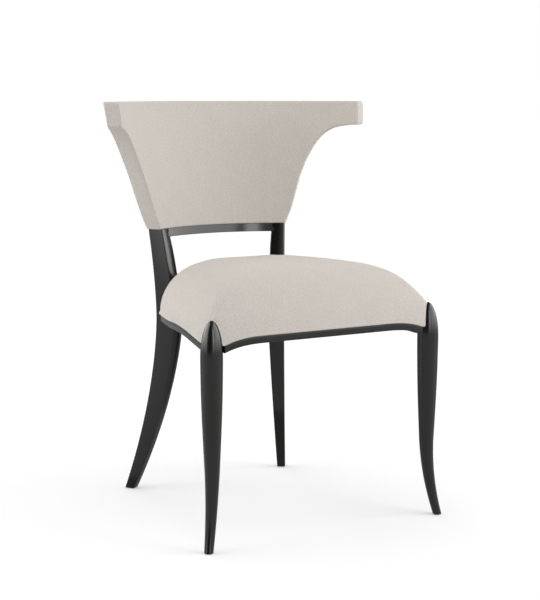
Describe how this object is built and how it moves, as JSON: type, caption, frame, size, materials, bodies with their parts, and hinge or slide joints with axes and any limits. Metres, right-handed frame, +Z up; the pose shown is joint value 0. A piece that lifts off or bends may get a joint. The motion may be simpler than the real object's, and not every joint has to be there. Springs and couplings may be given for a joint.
{
  "type": "klismos dining chair",
  "caption": "Klismos dining chair: bullet-topped round front legs, sabre rear legs, domed tight seat and a winged wrap-around upholstered back",
  "frame": {"origin": "on the floor, under the middle of the chair's length and width", "axes": "+Z up, +Y towards the chair's back, +X to the right of someone who stands in front of the chair and looks at it"},
  "size_m": [0.5982, 0.568, 0.813],
  "materials": {
    "ebonised_wood": "black stain, satin lacquer",
    "cloth": "off-white linen weave, matt",
    "hardwood": "bare planed beech",
    "plywood": "bare plywood",
    "foam": "open-cell foam, matt",
    "wadding": "polyester wadding, matt",
    "jute": "woven jute, matt",
    "dust_cloth": "black cambric, matt",
    "screw_steel": "zinc-plated",
    "glide_nylon": "moulded nylon"
  },
  "bodies": {
    "root": {"front_leg_right": "ebonised_wood", "front_leg_left": "ebonised_wood", "rear_leg_right": "ebonised_wood", "rear_leg_left": "ebonised_wood", "front_glide_right": "glide_nylon", "front_glide_left": "glide_nylon", "rear_glide_right": "glide_nylon", "rear_glide_left": "glide_nylon", "seat_rail_side_right": "ebonised_wood", "seat_rail_side_left": "ebonised_wood", "corner_block_front_right": "hardwood", "corner_block_front_left": "hardwood", "corner_block_rear_right": "hardwood", "corner_block_rear_left": "hardwood", "block_screw_front_a_right": "screw_steel", "block_screw_front_a_left": "screw_steel", "block_screw_front_b_right": "screw_steel", "block_screw_front_b_left": "screw_steel", "block_screw_rear_a_right": "screw_steel", "block_screw_rear_a_left": "screw_steel", "block_screw_rear_b_right": "screw_steel", "block_screw_rear_b_left": "screw_steel", "crest_dowel_right": "hardwood", "crest_dowel_left": "hardwood", "back_wing_block_right": "plywood", "back_wing_block_left": "plywood", "panel_screw_lower_right": "screw_steel", "panel_screw_lower_left": "screw_steel", "panel_screw_upper_right": "screw_steel", "panel_screw_upper_left": "screw_steel", "seat_rail_front": "ebonised_wood", "seat_rail_rear": "ebonised_wood", "seat_strap_across_1": "jute", "seat_strap_across_2": "jute", "seat_strap_across_3": "jute", "seat_strap_along_1": "jute", "seat_strap_along_2": "jute", "seat_strap_along_3": "jute", "seat_hessian": "jute", "seat_foam": "foam", "seat_cover": "cloth", "seat_dust_cover": "dust_cloth", "back_cross_rail": "ebonised_wood", "back_crest_rail": "hardwood", "back_wadding": "wadding", "back_panel": "plywood", "back_foam": "foam", "back_outside_cover": "cloth", "back_inside_cover": "cloth", "back_border": "cloth"}
  },
  "joints": []
}
